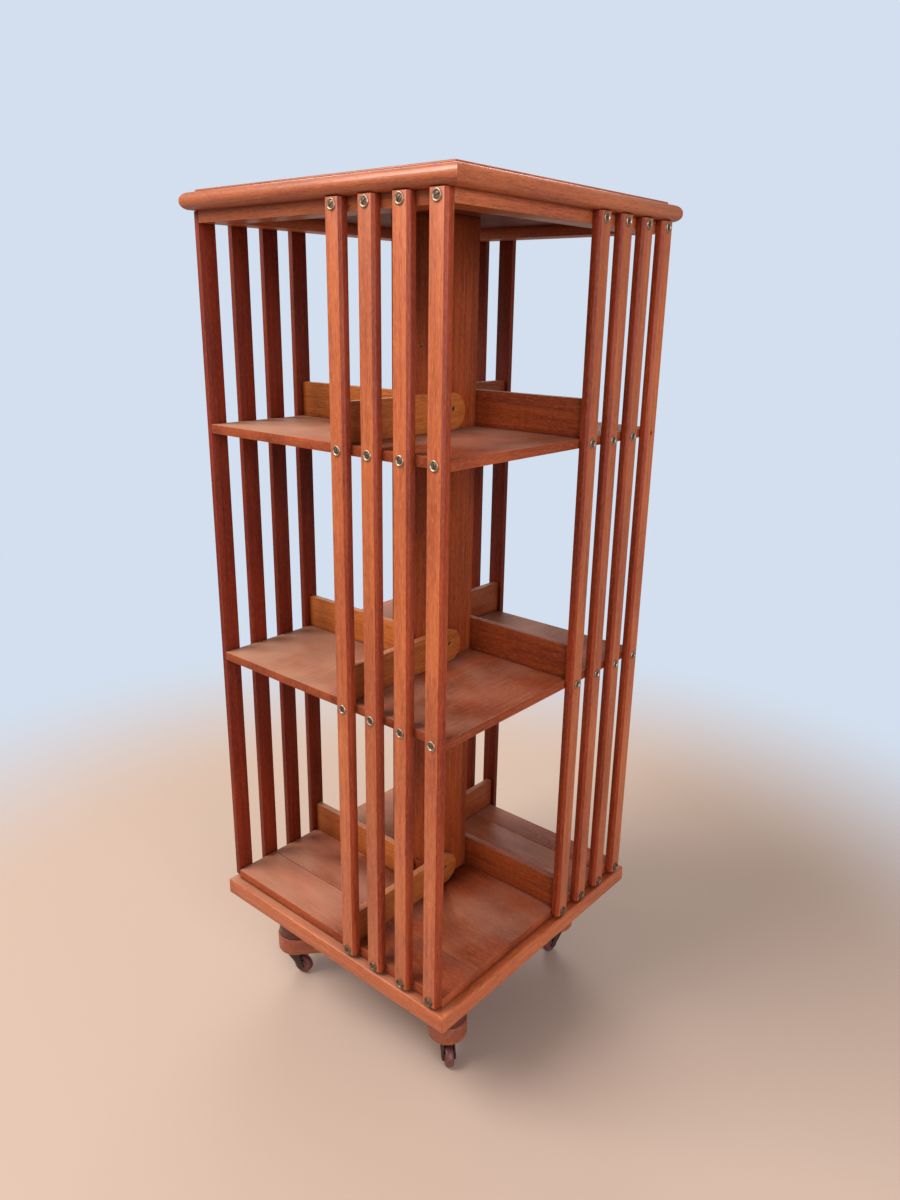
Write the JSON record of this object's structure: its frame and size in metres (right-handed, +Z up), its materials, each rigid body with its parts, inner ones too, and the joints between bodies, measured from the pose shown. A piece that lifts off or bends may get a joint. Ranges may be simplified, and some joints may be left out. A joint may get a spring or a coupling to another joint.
{
  "type": "revolving bookcase",
  "caption": "Square three-tier oak book rack with slatted sides that turns on a fixed cross-shaped foot with swivelling casters.",
  "frame": {"origin": "on the floor, under the axis that the case turns about", "axes": "+Z up along the spindle; the case's front faces -Y and its right side +X"},
  "size_m": [0.506, 0.506, 1.29],
  "materials": {
    "stained_oak": "satin reddish stain",
    "yellow_oak": "satin lighter stain",
    "foot_wood": "satin reddish stain",
    "dark_foot_wood": "dark stain",
    "iron": "japanned, worn",
    "wheel_wood": "turned hardwood, worn"
  },
  "bodies": {
    "base": {"lower_arm_a": "foot_wood", "lower_arm_b": "foot_wood", "upper_arm_a": "dark_foot_wood", "upper_arm_b": "dark_foot_wood", "hub": "dark_foot_wood", "spindle": "iron"},
    "case": {"top_board": "stained_oak", "frame_rail_front": "stained_oak", "frame_rail_right": "stained_oak", "frame_rail_back": "stained_oak", "frame_rail_left": "stained_oak", "shelf_upper": "stained_oak", "shelf_lower": "stained_oak", "plinth_rail_front": "stained_oak", "plinth_rail_right": "stained_oak", "plinth_rail_back": "stained_oak", "plinth_rail_left": "stained_oak", "bottom_board": "stained_oak", "slat_front_1": "stained_oak", "slat_front_2": "stained_oak", "slat_front_3": "stained_oak", "slat_front_4": "stained_oak", "slat_right_1": "stained_oak", "slat_right_2": "stained_oak", "slat_right_3": "stained_oak", "slat_right_4": "stained_oak", "slat_back_1": "stained_oak", "slat_back_2": "stained_oak", "slat_back_3": "stained_oak", "slat_back_4": "stained_oak", "slat_left_1": "stained_oak", "slat_left_2": "stained_oak", "slat_left_3": "stained_oak", "slat_left_4": "stained_oak", "book_stop_bottom_front": "yellow_oak", "book_stop_middle_front": "yellow_oak", "book_stop_top_front": "yellow_oak", "book_stop_bottom_right": "yellow_oak", "book_stop_middle_right": "yellow_oak", "book_stop_top_right": "yellow_oak", "book_stop_bottom_back": "yellow_oak", "book_stop_middle_back": "yellow_oak", "book_stop_top_back": "yellow_oak", "book_stop_bottom_left": "yellow_oak", "book_stop_middle_left": "yellow_oak", "book_stop_top_left": "yellow_oak", "column_board_front": "yellow_oak", "column_board_right": "yellow_oak", "column_board_back": "yellow_oak", "column_board_left": "yellow_oak", "pivot_cup": "iron", "guide_ring": "iron"},
    "caster_1": {"caster_fork_1": "iron"},
    "wheel_1": {"caster_wheel_1": "wheel_wood"},
    "caster_2": {"caster_fork_2": "iron"},
    "wheel_2": {"caster_wheel_2": "wheel_wood"},
    "caster_3": {"caster_fork_3": "iron"},
    "wheel_3": {"caster_wheel_3": "wheel_wood"},
    "caster_4": {"caster_fork_4": "iron"},
    "wheel_4": {"caster_wheel_4": "wheel_wood"}
  },
  "joints": [
    {"name": "case_spin", "type": "hinge", "parent": "base", "child": "case", "pos_m": [0, 0, 0.181], "axis": [0, 0, 1], "continuous": true},
    {"name": "caster_swivel_1", "type": "hinge", "parent": "base", "child": "caster_1", "pos_m": [0.17962, -0.15614, 0.048], "axis": [0, 0, 1], "continuous": true},
    {"name": "wheel_spin_1", "type": "hinge", "parent": "caster_1", "child": "wheel_1", "pos_m": [0.19065, -0.16476, 0.017], "axis": [0.6157, 0.788, 0], "continuous": true},
    {"name": "caster_swivel_2", "type": "hinge", "parent": "base", "child": "caster_2", "pos_m": [0.15614, 0.17962, 0.048], "axis": [0, 0, 1], "continuous": true},
    {"name": "wheel_spin_2", "type": "hinge", "parent": "caster_2", "child": "wheel_2", "pos_m": [0.15541, 0.16564, 0.017], "axis": [0.9986, -0.0523, 0], "continuous": true},
    {"name": "caster_swivel_3", "type": "hinge", "parent": "base", "child": "caster_3", "pos_m": [-0.17962, 0.15614, 0.048], "axis": [0, 0, 1], "continuous": true},
    {"name": "wheel_spin_3", "type": "hinge", "parent": "caster_3", "child": "wheel_3", "pos_m": [-0.176, 0.14262, 0.017], "axis": [0.9659, 0.2588, 0], "continuous": true},
    {"name": "caster_swivel_4", "type": "hinge", "parent": "base", "child": "caster_4", "pos_m": [-0.15614, -0.17962, 0.048], "axis": [0, 0, 1], "continuous": true},
    {"name": "wheel_spin_4", "type": "hinge", "parent": "caster_4", "child": "wheel_4", "pos_m": [-0.14262, -0.176, 0.017], "axis": [-0.2588, 0.9659, 0], "continuous": true}
  ]
}
